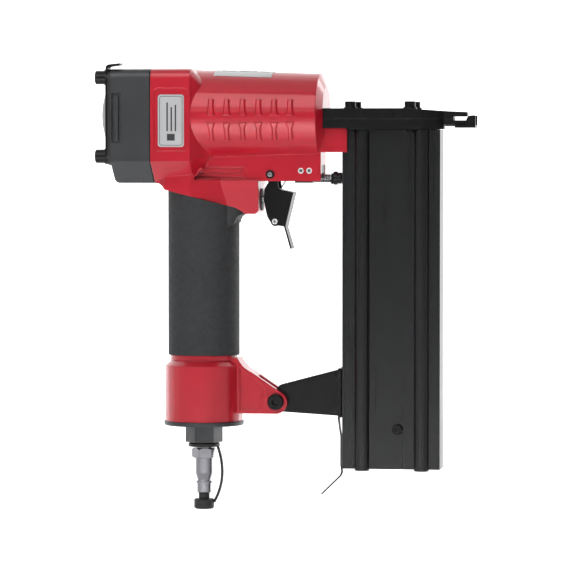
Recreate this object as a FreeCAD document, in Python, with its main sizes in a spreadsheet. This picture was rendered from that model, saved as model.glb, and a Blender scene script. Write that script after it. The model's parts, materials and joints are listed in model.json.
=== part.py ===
import FreeCAD, Part
import math
import os
import Sketcher
from FreeCAD import Placement, Rotation, Vector

# Pneumatic brad nail gun, millimetres.
# +X is the driving direction, +Z is up, and the origin is the driver guide's front tip on the driver's axis.

DIMENSIONS = {
    # driver axis parts: places along X
    "plate_rear": -220.5, "pad_rear": -219.0, "cap_rear": -217.0, "gasket_rear": -192.6, "flange_rear": -192.0,
    "flange_front": -167.3, "barrel_front": -86.6,
    # barrel
    "barrel_height": 2.4, "barrel_rear_radius": 28.4, "barrel_front_radius": 26.0, "front_chamfer": 3.4, "front_lip": 8.0,
    "chamber_radius": 23.0, "rib_rise": 1.0, "rib_first": -154.5, "rib_pitch": 9.78, "rib_wide": 1.6,
    "rib_narrow": 0.6, "rib_draft": 0.8,
    # flange and cap outline
    "flange_half_width": 28.5, "flange_top": 31.0, "flange_waist": -26.0, "flange_bottom": -39.3,
    "flange_keel": 12.0, "flange_corner": 5.5, "shoulder_length": 12.0, "bolt_end": -178.0,
    "bolt_side": 21.2, "bolt_upper": 25.8, "bolt_lower": -22.7, "bolt_radius": 2.5,
    "bolt_head_radius": 4.25, "bolt_head_length": 5.9, "washer_thickness": 1.2, "washer_radius": 4.9,
    "dome_rise": 6.4, "dome_radius": 24.0,
    # cylinder
    "liner_radius": 17.4, "liner_bore": 15.0, "liner_rear": -187.5, "liner_front": -93.5, "bumper_length": 16.0,
    "piston_rear": -184.0, "piston_length": 10.0, "blade_width": 3.0, "blade_thickness": 1.4, "blade_tip": -67.0,
    "valve_cup_radius": 20.95, "valve_cup_rear": -200.0,
    # neck, belly and valve boss
    "boss_front": -127.2, "boss_bottom": -58.3, "boss_half_width": 13.0, "belly_bottom": -38.05,
    "belly_half_width": 11.5, "belly_front": -88.6, "ear_gap": 7.5, "valve_height": -49.5, "valve_bore": 6.2,
    # handle
    "handle_x": -163.6, "handle_long": 22.3, "handle_short": 18.4, "core_long": 19.3, "core_short": 15.4,
    "duct_long": 14.0, "duct_short": 9.0, "grip_bottom": -146.0,
    # base, end cap and air plug
    "base_radius": 24.0, "base_top": -152.5, "base_bottom": -187.1, "base_bore": 18.5, "end_disc_radius": 24.8,
    "end_disc_bottom": -189.7, "end_hex_bottom": -200.5, "end_hex_across": 20.0, "plug_neck_radius": 5.0,
    "plug_bore": 3.3, "plug_hex_across": 13.6, "strap_ring_radius": 9.8, "stopper_radius": 6.3,
    "stopper_top": -236.0, "stopper_bottom": -242.2,
    # bracket lug
    "lug_x": -117.0, "lug_height": -174.5, "lug_radius": 7.0, "lug_half_width": 9.0, "lug_slot": 4.6,
    "bracket_sheet": 1.5, "bracket_bolt_radius": 3.0, "bracket_face": -78.4, "rivet_upper": -160.5,
    "rivet_lower": -176.5, "rivet_radius": 1.5, "latch_x": -78.8, "latch_height": -184.6,
    # trigger group
    "pivot_x": -120.1, "pivot_height": -33.9, "pivot_radius": 1.4, "trigger_half_width": 6.8, "trigger_sheet": 1.2,
    "lever_pin_x": -117.9, "lever_pin_height": -63.0, "lever_pin_radius": 1.7, "lever_pin_bore": 1.0,
    "running": 0.05,
    # contact safety
    "rod_height": -36.2, "rod_radius": 1.9, "spring_wire": 0.35, "contact_spring_radius": 2.6,
    "arm_side": 14.2, "arm_sheet": 1.5, "foot_front": 6.3, "ear_pin_radius": 1.75, "ear_pin_bore": 1.1,
    "ear_pin_height": -31.6, "ear_pin_rear": -101.0, "ear_pin_front": -95.8,
    # nose
    "seam_height": 0.3, "cover_top": 6.8, "guide_bottom": -6.1, "guide_step": -5.4, "nose_half_width": 17.5,
    "prong_half_width": 4.4, "channel_half_width": 1.6, "channel_half_height": 0.8, "nose_screw_side": 13.0,
    "nose_screw_radius": 2.0, "nose_screw_head": 3.4, "nose_screw_rear": -70.0, "nose_screw_front": -33.2,
    # magazine
    "mag_rear": -75.5, "mag_front": -15.0, "mag_top": -6.4, "mag_bottom": -215.3, "mag_half_width": 9.5,
    "mag_wall": 1.5, "ridge_radius": 4.55, "ridge_rise": 4.0, "ridge_rear_x": -63.2, "ridge_front_x": -26.4,
    "rail_half_width": 7.6, "rail_bottom": -186.5, "rail_wall": 2.6, "pusher_height": 22.0,
    "pusher_rod_x": -44.0, "pusher_rod_radius": 2.0,
    "mag_screw_x": -41.0, "mag_screw_height": -190.8, "mag_screw_radius": 3.2,
}

doc = FreeCAD.newDocument("nail_gun")
sheet = doc.addObject("Spreadsheet::Sheet", "dims")
for row, (alias, value) in enumerate(DIMENSIONS.items(), start=1):
    sheet.set("A%d" % row, alias)
    sheet.set("B%d" % row, str(value))
    sheet.setAlias("B%d" % row, alias)
doc.recompute()


class Size:
    """A length that knows its number and the sheet expression that gives it."""

    def __init__(self, value, text):
        self.value = value
        self.text = text

    def __add__(self, other):
        return Size(self.value + number(other), "(%s + %s)" % (self.text, words(other)))

    def __radd__(self, other):
        return Size(number(other) + self.value, "(%s + %s)" % (words(other), self.text))

    def __sub__(self, other):
        return Size(self.value - number(other), "(%s - (%s))" % (self.text, words(other)))

    def __rsub__(self, other):
        return Size(number(other) - self.value, "(%s - (%s))" % (words(other), self.text))

    def __mul__(self, other):
        return Size(self.value * number(other), "(%s * %s)" % (self.text, words(other)))

    __rmul__ = __mul__

    def __neg__(self):
        return Size(-self.value, "(0 - %s)" % self.text)


def number(size):
    return size.value if isinstance(size, Size) else float(size)


def words(size):
    return size.text if isinstance(size, Size) else "%.6g" % size


class Dims:
    """Named access to the sheet: dims.barrel_front is a Size bound to that cell."""

    def __getattr__(self, alias):
        return Size(float(sheet.get(alias)), "dims." + alias)


dims = Dims()


# ---------------------------------------------------------------- building blocks

def bind(item, prop, size):
    """Set a property from a length, with its expression when it comes from the sheet."""
    item.setExpression(prop, words(size))


def place(item, x, y, z, rotation=None):
    item.Placement = Placement(Vector(number(x), number(y), number(z)), rotation or Rotation())
    for letter, size in zip("xyz", (x, y, z)):
        bind(item, "Placement.Base." + letter, size)


def along(axis, start, side):
    """The corner of a round primitive: start along its axis, side = the two other coordinates in X, Y, Z order."""
    if axis == "X":
        return (start, side[0], side[1]), Rotation(Vector(0, 1, 0), 90)
    if axis == "Y":
        return (side[0], start, side[1]), Rotation(Vector(1, 0, 0), -90)
    return (side[0], side[1], start), Rotation()


def box(x, y, z):
    item = doc.addObject("Part::Box", "block")
    bind(item, "Length", x[1] - x[0])
    bind(item, "Width", y[1] - y[0])
    bind(item, "Height", z[1] - z[0])
    place(item, x[0], y[0], z[0])
    return item


def cylinder(axis, side, radius, start, stop):
    item = doc.addObject("Part::Cylinder", "round")
    bind(item, "Radius", radius)
    bind(item, "Height", stop - start)
    corner, rotation = along(axis, start, side)
    place(item, *corner, rotation)
    return item


def tube(axis, side, outer, inner, start, stop):
    return cut(cylinder(axis, side, outer, start, stop), [cylinder(axis, side, inner, start - 1, stop + 1)])


def cone(axis, side, first_radius, last_radius, start, stop):
    item = doc.addObject("Part::Cone", "taper")
    bind(item, "Radius1", first_radius)
    bind(item, "Radius2", last_radius)
    bind(item, "Height", stop - start)
    corner, rotation = along(axis, start, side)
    place(item, *corner, rotation)
    return item


def ring(axis, side, middle, radius, wire):
    """An o-ring: a torus about an axis."""
    item = doc.addObject("Part::Torus", "ring")
    bind(item, "Radius1", radius)
    bind(item, "Radius2", wire)
    corner, rotation = along(axis, middle, side)
    place(item, *corner, rotation)
    return item


def hexagon(axis, side, across, start, stop, turn=0):
    item = doc.addObject("Part::Prism", "hexagon")
    item.Polygon = 6
    bind(item, "Circumradius", across * 0.57735)
    bind(item, "Height", stop - start)
    corner, rotation = along(axis, start, side)
    place(item, *corner, rotation * Rotation(Vector(0, 0, 1), turn))
    return item


def fuse(items):
    if len(items) == 1:
        return items[0]
    item = doc.addObject("Part::MultiFuse", "joined")
    item.Shapes = items
    item.Refine = True
    return item


def cut(base, tools):
    item = doc.addObject("Part::Cut", "cut")
    item.Base = base
    item.Tool = fuse(tools)
    item.Refine = True
    return item


def common(first, second):
    item = doc.addObject("Part::Common", "shared")
    item.Base = first
    item.Tool = second
    return item


class Arc:
    """A round stretch of an outline: it ends at a point, with a radius, turning left (+1) or right (-1)."""

    def __init__(self, end, radius, turn):
        self.end = end
        self.radius = radius
        self.turn = turn

    def geometry(self, start):
        first = Vector(*start, 0)
        last = Vector(number(self.end[0]), number(self.end[1]), 0)
        chord = last - first
        left = Vector(-chord.y, chord.x, 0).normalize()
        radius = number(self.radius)
        centre = (first + last) * 0.5 + left * (radius ** 2 - (chord.Length / 2) ** 2) ** 0.5 * self.turn
        if self.turn < 0:
            first, last = last, first
        angles = [math.atan2(point.y - centre.y, point.x - centre.x) for point in (first, last)]
        return Part.ArcOfCircle(Part.Circle(centre, Vector(0, 0, 1), radius), *angles)


def sketch_outline(sketch, outline):
    """Draw a closed outline of points and arcs, each point bound to the sheet."""
    ends = [step.end if isinstance(step, Arc) else step for step in outline]
    places = [(number(u), number(v)) for u, v in ends]
    for index, step in enumerate(outline):
        start = places[index - 1]
        if isinstance(step, Arc):
            sketch.addGeometry(step.geometry(start), False)
        else:
            sketch.addGeometry(Part.LineSegment(Vector(*start, 0), Vector(*places[index], 0)), False)
    count = len(outline)
    # a line runs from its vertex 1 to 2; an arc that turns right is stored from its end to its start
    first = [2 if isinstance(step, Arc) and step.turn < 0 else 1 for step in outline]
    last = [3 - vertex for vertex in first]
    for index in range(count):
        after = (index + 1) % count
        sketch.addConstraint(Sketcher.Constraint("Coincident", index, last[index], after, first[after]))
    for index, (u, v) in enumerate(ends):
        for kind, size in (("DistanceX", u), ("DistanceY", v)):
            rule = sketch.addConstraint(Sketcher.Constraint(kind, -1, 1, index, last[index], number(size)))
            if isinstance(size, Size):
                sketch.setExpression("Constraints[%d]" % rule, size.text)
    for index, step in enumerate(outline):
        if isinstance(step, Arc):
            bind_arc(sketch, index, step, math.dist(places[index - 1], places[index]))


def bind_arc(sketch, index, arc, chord):
    """Fix an arc between its ends: a half circle by symmetry, any other by its radius."""
    if abs(chord - 2 * number(arc.radius)) < 1e-6:
        sketch.addConstraint(Sketcher.Constraint("Symmetric", index, 1, index, 2, index, 3))
        return
    rule = sketch.addConstraint(Sketcher.Constraint("Radius", index, number(arc.radius)))
    if isinstance(arc.radius, Size):
        sketch.setExpression("Constraints[%d]" % rule, arc.radius.text)


def new_sketch(body, plane, offset):
    sketch = body.newObject("Sketcher::SketchObject", "sketch")
    support = [face for face in body.Origin.OriginFeatures if face.Role == plane + "_Plane"][0]
    sketch.AttachmentSupport = [(support, "")]
    sketch.MapMode = "FlatFace"
    for letter, size in zip("xyz", offset):
        bind(sketch, "AttachmentOffset.Base." + letter, size)
    return sketch


def plate(plane, outline, low, high):
    """A body padded from low to high along the normal of its outline's plane, XY, XZ or YZ."""
    body = doc.addObject("PartDesign::Body", "plate")
    offset = -high if plane == "XZ" else low
    sketch = new_sketch(body, plane, (0, 0, offset))
    sketch_outline(sketch, outline)
    pad = body.newObject("PartDesign::Pad", "pad")
    pad.Profile = sketch
    bind(pad, "Length", high - low)
    return body


def loft(plane, first_outline, last_outline, start, stop):
    """A body between two outlines with the same number of points, in planes YZ or XY."""
    body = doc.addObject("PartDesign::Body", "loft")
    sections = []
    for outline, offset in ((first_outline, start), (last_outline, stop)):
        sections.append(new_sketch(body, plane, (0, 0, offset)))
        sketch_outline(sections[-1], outline)
    skin = body.newObject("PartDesign::AdditiveLoft", "skin")
    skin.Profile = sections[0]
    skin.Sections = [sections[1]]
    skin.Ruled = True
    return body


def turned(axis, side, profile):
    """A body revolved about an axis; profile points are (along the axis, radius)."""
    body = doc.addObject("PartDesign::Body", "turned")
    if axis == "X":
        sketch = new_sketch(body, "XZ", (0, side[1], -side[0]))
        outline, line = profile, "H_Axis"
    elif axis == "Y":
        sketch = new_sketch(body, "XY", (side[0], 0, side[1]))
        outline, line = [(radius, place_along) for place_along, radius in profile], "V_Axis"
    else:
        sketch = new_sketch(body, "XZ", (side[0], 0, -side[1]))
        outline, line = [(radius, place_along) for place_along, radius in profile], "V_Axis"
    sketch_outline(sketch, outline)
    spin = body.newObject("PartDesign::Revolution", "revolution")
    spin.Profile = sketch
    spin.ReferenceAxis = (sketch, [line])
    spin.Angle = 360
    return body


def coil(axis, side, radius, wire, start, stop, turns):
    """A helical spring: the wire's circle swept along a helix, then laid along its axis."""
    length = stop - start - wire * 2
    helix = doc.addObject("Part::Helix", "helix")
    helix.SegmentLength = 1
    bind(helix, "Radius", radius)
    bind(helix, "Height", length)
    bind(helix, "Pitch", length * (1.0 / turns))
    section = doc.addObject("Part::Circle", "wire")
    bind(section, "Radius", wire)
    place(section, radius, 0, 0, Rotation(Vector(1, 0, 0), 90))
    spring = doc.addObject("Part::Sweep", "spring")
    spring.Sections = [section]
    spring.Spine = (helix, [])
    spring.Solid = True
    spring.Frenet = True
    corner, rotation = along(axis, start + wire, side)
    place(spring, *corner, rotation)
    return spring


NODES = {}


def node(name, item):
    """Name a finished sub-part; the name is also its file's name."""
    item.Label = name
    NODES[name] = item
    return item


# ---------------------------------------------------------------- one-piece body casting

DRIVER = (0, 0)
BARREL = (0, dims.barrel_height)
HANDLE = (dims.handle_x, 0)
CUT_MARGIN = 1
BARREL_LAP = 2.2
BOLT_PLACES = [
    (y, z) for y in (-dims.bolt_side, dims.bolt_side) for z in (dims.bolt_upper, dims.bolt_lower)
]
RIVET_HEIGHTS = (dims.rivet_upper, dims.rivet_lower)
NOSE_SCREW_PLACES = [
    (x, y) for x in (dims.nose_screw_rear, dims.nose_screw_front)
    for y in (-dims.nose_screw_side, dims.nose_screw_side)
]


def bolt_holes(start, stop):
    """Clearance for the four cap bolts, through a part that lies between two places along X."""
    return [
        cylinder("X", place_yz, dims.bolt_radius, start - CUT_MARGIN, stop + CUT_MARGIN) for place_yz in BOLT_PLACES
    ]


def ear_pin_holes(reach):
    return [
        cylinder("Y", (x, dims.ear_pin_height), dims.ear_pin_radius, -reach, reach)
        for x in (dims.ear_pin_rear, dims.ear_pin_front)
    ]


def valve_cylinder():
    """The bore that the trigger valve sits in."""
    return cylinder("X", (0, dims.valve_height), dims.valve_bore, -160, dims.boss_front + 1)


def rivet_holes(start, stop):
    return [cylinder("X", (0, z), dims.rivet_radius, start, stop) for z in RIVET_HEIGHTS]


def oval(long, short, low, high):
    """A straight column of elliptical section about the handle's axis."""
    section = doc.addObject("Part::Ellipse", "oval")
    bind(section, "MajorRadius", long)
    bind(section, "MinorRadius", short)
    place(section, dims.handle_x, 0, low)
    column = doc.addObject("Part::Extrusion", "column")
    column.Base = section
    column.DirMode = "Custom"
    column.Dir = Vector(0, 0, 1)
    column.Solid = True
    bind(column, "LengthFwd", high - low)
    return column


def flange_outline(inset=0):
    """The rear flange's outline in Y and Z: round upper corners and a narrow keel; the cap and gasket share it."""
    half = dims.flange_half_width - inset
    top = dims.flange_top - inset
    keel = dims.flange_keel - inset * 0.5
    waist = dims.flange_waist + inset * 0.4
    bottom = dims.flange_bottom + inset
    corner = dims.flange_corner
    return [
        (-half, waist), (-half, top - corner), Arc((-half + corner, top), corner, -1), (half - corner, top),
        Arc((half, top - corner), corner, -1), (half, waist), (keel, bottom), (-keel, bottom),
    ]


def barrel_cone(rise):
    """The barrel's tapered outside, or one larger by a rise."""
    return cone("X", BARREL, dims.barrel_rear_radius + rise, dims.barrel_front_radius + rise,
                dims.flange_front - BARREL_LAP, dims.barrel_front - dims.front_chamfer)


def barrel_skin(x):
    """The barrel's outer radius at a place along X."""
    start = dims.flange_front.value - BARREL_LAP
    stop = dims.barrel_front.value - dims.front_chamfer.value
    run = (x.value - start) / (stop - start)
    return dims.barrel_rear_radius * (1 - run) + dims.barrel_front_radius * run


def barrel():
    nose = dims.barrel_front - dims.front_chamfer
    tip = cone("X", BARREL, dims.barrel_front_radius, dims.barrel_front_radius - dims.front_lip, nose, dims.barrel_front)
    return [barrel_cone(0), tip]


def shoulder():
    """The sloping faces that lead from the flange's outline in to the barrel, belly and neck."""
    return loft("YZ", flange_outline(0.3), flange_outline(14), dims.flange_front,
                dims.flange_front + dims.shoulder_length)


def rib(x, side, angle, outline):
    """One raised rib with sloping flanks, standing on the barrel's skin at an angle above its middle.

    The outline's points are (half width of the crest, distance up the barrel); the crest lies rib_rise over the skin.
    """
    skin = barrel_skin(x)
    foot, top = -2, 1.3
    sections = []
    for height in (foot, top):
        spread = dims.rib_draft * (1 - height)
        right = [(x + half + spread, up * side) for half, up in outline]
        left = [(x - half - spread, up * side) for half, up in reversed(outline)]
        sections.append(right + left)
    wedge = loft("XY", *sections, skin + foot, skin + top)
    turn = side * (90 - angle)
    place(wedge, 0, 0, dims.barrel_height, Rotation(Vector(1, 0, 0), turn))
    return wedge


def barrel_ribs():
    """Two rows of six tapered ribs on each side of the barrel, following its round surface."""
    upper = [(dims.rib_wide, -4.9), (dims.rib_narrow, 4.9)]
    lower = [(dims.rib_narrow * 0.5, -6.2), (dims.rib_narrow, -5.2), (dims.rib_narrow * 1.2, 2),
             (dims.rib_wide, 5.4)]
    ribs = []
    for index in range(6):
        x = dims.rib_first + dims.rib_pitch * index
        for side in (1, -1):
            ribs.append(rib(x, side, 10.4, upper))
            ribs.append(rib(x, side, -20.5, lower))
    return common(barrel_cone(dims.rib_rise), fuse(ribs))


def neck():
    """The block between the barrel and the grip, which narrows from the flange to the valve boss."""
    top = dims.belly_bottom + 0.5
    side = plate("XZ", [
        (dims.flange_rear, -20), (dims.flange_rear, dims.flange_bottom), (-189.4, dims.flange_bottom - 0.3),
        (-187, -41.2), (-185.6, -43.3), (-145.3, -53.5), Arc((-135.6, dims.boss_bottom), 22, -1),
        (dims.boss_front - 2, dims.boss_bottom), (dims.boss_front, dims.boss_bottom + 2), (dims.boss_front, top),
        (dims.flange_front + 1, top), (dims.flange_front, -20),
    ], -dims.flange_half_width, dims.flange_half_width)
    column = plate("XY", [
        (dims.flange_rear, -dims.flange_keel), (-185, -17), (-168.1, -18.5), (-140, -10.8), (-140, 10.8),
        (-168.1, 18.5), (-185, 17), (dims.flange_rear, dims.flange_keel),
    ], -62, -18)
    upper = dims.boss_half_width + 0.9
    lower = dims.boss_half_width - 0.8
    boss = plate("YZ", [
        (-lower, -62), (lower, -62), (lower, dims.boss_bottom), (upper, dims.belly_bottom), (upper, -24),
        (-upper, -24), (-upper, dims.belly_bottom), (-lower, dims.boss_bottom),
    ], -158, dims.boss_front)
    return common(side, fuse([column, boss]))


def belly():
    """The bar under the barrel that ends in two ears for the trigger and the contact rod."""
    half = dims.belly_half_width
    return box((-170, dims.belly_front), (-half, half), (dims.belly_bottom, -15))


def belly_bars(reach):
    """Two raised bars in the recess of the belly's sides, reaching out to a distance from the middle."""
    bars = []
    for height in (-31.6, -34.4):
        bars.append(plate("XZ", [
            (-165, height - 0.95), (-138.5, height - 0.95), Arc((-138.5, height + 0.95), 0.95, 1),
            (-165, height + 0.95),
        ], -reach, reach))
    return bars


def belly_recess():
    outline = [(-167, -36.4), (-138, -36.4), Arc((-138, -29.4), 3.5, 1), (-161, -29.4)]
    depth = 0.8
    near = plate("XZ", outline, -20, -dims.belly_half_width + depth)
    far = plate("XZ", outline, dims.belly_half_width - depth, 20)
    return [near, far]


def base():
    """The round foot of the handle with the lug that carries the magazine bracket."""
    ring_top = oval(20.9, 17.6, dims.base_top - 2, dims.grip_bottom)
    shoulder = cone("Z", HANDLE, dims.base_radius, 20.4, dims.base_top, dims.base_top + 3)
    drum = cylinder("Z", HANDLE, dims.base_radius, dims.base_bottom, dims.base_top)
    lug = plate("XZ", [
        (-150, -182.0), (dims.lug_x, -182.0), Arc((-113.4, -169.0), dims.lug_radius, 1), (-132.1, -156.4),
        Arc((-141, -147.6), 17, -1), (-150, -147.6),
    ], -dims.lug_half_width, dims.lug_half_width)
    return [ring_top, shoulder, drum, lug]


def lug_cuts():
    """The slot for the bracket, the bolt's hole and a shallow web panel on each side."""
    slot = box((-129, -100), (-dims.lug_slot, dims.lug_slot), (-190, -150))
    hole = cylinder("Y", (dims.lug_x, dims.lug_height), dims.bracket_bolt_radius, -12, 12)
    panel = [(-139.5, -179.3), (-128, -179.3), (-126.2, -176.5), Arc((-123.4, -167.6), 9.2, -1),
             (-126, -163.6), (-133.2, -158.8), (-139.5, -153.5)]
    near = plate("XZ", panel, -12, -dims.lug_half_width + 1)
    far = plate("XZ", panel, dims.lug_half_width - 1, 12)
    return [slot, hole, near, far]


def body_hollows():
    """Air chamber, liner seat, driver slot, handle duct, valve bore, ear slot, bolt holes and label recesses."""
    chamber = cylinder("X", BARREL, dims.chamber_radius, dims.flange_rear - CUT_MARGIN, -104)
    seat = cylinder("X", BARREL, dims.liner_radius, -105, dims.liner_front)
    driver = box((dims.liner_front - 1, dims.barrel_front + 30), (-2.2, 2.2), (-1.4, 1.4))
    duct = oval(dims.duct_long, dims.duct_short, dims.base_bottom - 1, -19)
    bore = cylinder("Z", HANDLE, dims.base_bore, dims.base_bottom - 1, -166)
    ears = box((dims.boss_front, dims.belly_front + 1), (-dims.ear_gap, dims.ear_gap), (-45, -28))
    pivot = cylinder("Y", (dims.pivot_x, dims.pivot_height), dims.pivot_radius, -20, 20)
    pins = ear_pin_holes(20)
    bolts = bolt_holes(dims.flange_rear, dims.bolt_end - CUT_MARGIN)
    recesses = []
    for outline, depth in ((label_outline(0), 0.6), (rounded(-189.6, -168.8, -19.4, 19.2, 2.5), 0.3)):
        recesses.append(plate("XZ", outline, -40, -dims.flange_half_width + depth))
        recesses.append(plate("XZ", outline, dims.flange_half_width - depth, 40))
    groove = box((-172.6, -167.7), (-22.5, 22.5), (24.3, 40))
    return [chamber, seat, driver, duct, bore, valve_cylinder(), ears, pivot, groove] + pins + bolts + recesses


def rounded(left, right, low, high, corner):
    """A rectangle with round corners."""
    return [
        (right - corner, low), Arc((right, low + corner), corner, 1),
        (right, high - corner), Arc((right - corner, high), corner, 1), (left + corner, high),
        Arc((left, high - corner), corner, 1), (left, low + corner), Arc((left + corner, low), corner, 1),
    ]


def label_outline(inset):
    """A rounded upright rectangle on the flange's side."""
    return rounded(-187.5 + inset, -170.8 - inset, -17.2 + inset, 15.4 - inset, 2 - inset)


def gun_body():
    flange = plate("YZ", flange_outline(), dims.flange_rear, dims.flange_front)
    core = oval(dims.core_long, dims.core_short, dims.base_top - 2, -30)
    nose_lug = cut(box((dims.barrel_front - 4, -72.3), (-12, 12), (-20.2, dims.guide_step)), [
        box((dims.mag_rear - 0.6, -70), (-dims.mag_half_width - 0.4, dims.mag_half_width + 0.4), (-22, -5))])
    solid = fuse([flange, shoulder(), neck(), belly(), core, nose_lug] + barrel() + base())
    shaped = cut(solid, belly_recess())
    hollowed = cut(fuse([shaped, barrel_ribs()] + belly_bars(dims.belly_half_width)), body_hollows() + lug_cuts())
    return node("gun_body", hollowed)


# ---------------------------------------------------------------- cylinder and head

def cylinder_liner():
    sleeve = turned("X", BARREL, [
        (dims.liner_rear, dims.liner_bore), (dims.liner_rear, dims.chamber_radius - 0.1),
        (dims.liner_rear + 3, dims.chamber_radius - 0.1), (dims.liner_rear + 3, dims.liner_radius),
        (dims.liner_front, dims.liner_radius), (dims.liner_front, dims.liner_bore),
    ])
    ports = [cylinder("Y", (x, dims.barrel_height), 2, -25, 25) for x in (-124.0, -118.0)]
    node("cylinder_liner", cut(sleeve, ports))


def piston():
    front = dims.piston_rear + dims.piston_length
    radius = dims.liner_bore - dims.running
    groove = dims.piston_rear + 5
    node("piston", turned("X", BARREL, [
        (dims.piston_rear, 0), (dims.piston_rear, radius - 0.8), (dims.piston_rear + 0.8, radius),
        (groove - 1.1, radius), (groove - 1.1, radius - 2.1), (groove + 1.1, radius - 2.1),
        (groove + 1.1, radius), (front, radius), (front, 6), (front + 3, 4.5), (front + 3, 0),
    ]))
    node("piston_ring", ring("X", BARREL, groove, radius - 1.0, 0.95))


def driver_blade():
    start = dims.piston_rear + dims.piston_length + 3
    half_width = dims.blade_width * 0.5
    half_thick = dims.blade_thickness * 0.5
    node("driver_blade", box((start, dims.blade_tip), (-half_width, half_width), (-half_thick, half_thick)))


def bumper():
    rear = dims.liner_front - dims.bumper_length
    node("bumper", turned("X", BARREL, [
        (rear, 6.5), (rear, 11), (rear + 4, dims.liner_bore - 0.6), (dims.liner_front, dims.liner_bore - 0.6),
        (dims.liner_front, 4.6), (rear + 4, 4.6),
    ]))


def head_valve():
    """The cup that seals the liner's rear rim and lifts rearwards when the trigger valve opens."""
    seat = dims.liner_rear
    rear = dims.valve_cup_rear
    outer = dims.valve_cup_radius
    node("head_valve", turned("X", BARREL, [
        (rear, 8), (rear, outer), (rear + 2, outer), (rear + 2, outer - 1.9), (rear + 4.2, outer - 1.9),
        (rear + 4.2, outer), (seat - 4.5, outer), (seat - 3, 19), (seat, 19), (seat, 15.6), (seat - 3, 15.6),
        (seat - 3, 12), (rear + 3, 12), (rear + 3, 8),
    ]))
    node("head_valve_ring", ring("X", BARREL, rear + 3.1, outer - 0.9, 0.85))
    node("head_valve_spring", coil("X", BARREL, 15, 0.8, dims.cap_rear + 3.2, rear - 0.1, 4))


def rear_cap():
    solid = plate("YZ", flange_outline(), dims.cap_rear, dims.gasket_rear)
    heel = plate("XZ", [
        (dims.cap_rear - 1, dims.flange_bottom + 2.6), (dims.cap_rear, dims.flange_bottom + 2.6),
        Arc((dims.cap_rear + 2.6, dims.flange_bottom), 2.6, 1), (dims.cap_rear + 2.6, -45), (dims.cap_rear - 1, -45),
    ], -40, 40)
    bore = cylinder("X", BARREL, 21, dims.cap_rear + 3, dims.gasket_rear + 1)
    exhaust = cylinder("X", BARREL, 6.5, dims.cap_rear - 1, dims.cap_rear + 4)
    slots = []
    for side in (-1, 1):
        outer = [side * dims.flange_half_width - 1.6, side * dims.flange_half_width + 1.6]
        slots.append(box((-216.2, -210.4), outer, (-14.6, 16.5)))
    bars = []
    for side in (-1, 1):
        outer = [side * (dims.flange_half_width - 1.1) - 1, side * (dims.flange_half_width - 1.1) + 1]
        bars.append(box((-214.7, -212.1), outer, (-12.8, 14.7)))
    shell = cut(solid, [heel, bore, exhaust] + bolt_holes(dims.cap_rear, dims.gasket_rear) + slots)
    node("rear_cap", fuse([shell] + bars))
    gasket = plate("YZ", flange_outline(0.5), dims.gasket_rear, dims.flange_rear)
    opening = cylinder("X", BARREL, dims.chamber_radius, dims.gasket_rear - 1, dims.flange_rear + 1)
    node("cap_gasket", cut(gasket, bolt_holes(dims.gasket_rear, dims.flange_rear) + [opening]))


def plate_shape(inset, start, stop):
    """The flat rear plate's rounded outline."""
    return plate("YZ", rounded(-27 + inset, 27 - inset, -27.8 + inset, 30.5 - inset, 6), start, stop)


def exhaust_plate():
    """The domed steel plate on the rear, with a hanging hook bent from its top edge."""
    sphere_radius = (dims.dome_radius.value ** 2 + dims.dome_rise.value ** 2) / (2 * dims.dome_rise.value)
    dome_centre = dims.plate_rear - dims.dome_rise + sphere_radius
    dome = turned("X", BARREL, [
        (dims.plate_rear, 0), (dims.plate_rear, dims.dome_radius),
        Arc((dims.plate_rear - dims.dome_rise, 0), sphere_radius, 1),
    ])
    hollow = doc.addObject("Part::Sphere", "hollow")
    hollow.Radius = sphere_radius - 1.2
    place(hollow, dome_centre, 0, dims.barrel_height)
    keep = box((dims.plate_rear - 10, dims.pad_rear), (-26, 26), (-26, 31))
    flat = plate_shape(0, dims.plate_rear, dims.pad_rear)
    holes = bolt_holes(dims.plate_rear, dims.pad_rear)
    hook_side = (-26, -17)
    hook = plate("XZ", [
        (dims.plate_rear, 29), (dims.pad_rear, 29), (dims.pad_rear, 31.6), Arc((dims.pad_rear + 1, 32.5), 1, -1),
        (-211.5, 33.4), (-211.5, 34.6), (dims.pad_rear + 0.6, 33.9), Arc((dims.plate_rear, 31.6), 2.4, 1),
    ], *hook_side)
    vents = [
        box((dims.plate_rear - 8, dims.pad_rear + 1), (y - 1.6, y + 1.6), (-6, 10)) for y in (-12, -4, 4, 12)
    ]
    skin = cut(fuse([dome, flat]), [common(hollow, keep)] + holes + vents)
    node("exhaust_plate", fuse([skin, hook]))
    window = cylinder("X", BARREL, 22, dims.pad_rear - 1, dims.cap_rear + 1)
    pad = plate_shape(-0.4, dims.pad_rear, dims.cap_rear)
    node("plate_pad", cut(pad, bolt_holes(dims.pad_rear, dims.cap_rear) + [window]))


def cap_bolts():
    under_head = dims.plate_rear - dims.washer_thickness
    bolts = []
    washers = []
    rear = under_head - dims.bolt_head_length
    for place_yz in BOLT_PLACES:
        bolt = turned("X", place_yz, [
            (rear, 0), (rear, 3.7), (rear + 0.5, dims.bolt_head_radius), (under_head, dims.bolt_head_radius),
            (under_head, dims.bolt_radius), (dims.bolt_end, dims.bolt_radius), (dims.bolt_end, 0),
        ])
        bolts.append(cut(bolt, [hexagon("X", place_yz, 4, rear - 1, rear + 2.6)]))
        washers.append(tube("X", place_yz, dims.washer_radius, dims.bolt_radius, under_head, dims.plate_rear))
    node("cap_bolts", fuse(bolts))
    node("cap_washers", fuse(washers))


def labels():
    skin = dims.flange_half_width - 0.6
    node("left_label", plate("XZ", label_outline(0.25), -skin - 0.45, -skin))
    node("right_label", plate("XZ", label_outline(0.25), skin, skin + 0.45))
    shell = cut(barrel_cone(0.35), [barrel_cone(0)])
    node("top_label", common(shell, box((-155, -119), (-13.5, 13.5), (20, 40))))


# ---------------------------------------------------------------- grip, base and air plug

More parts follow.
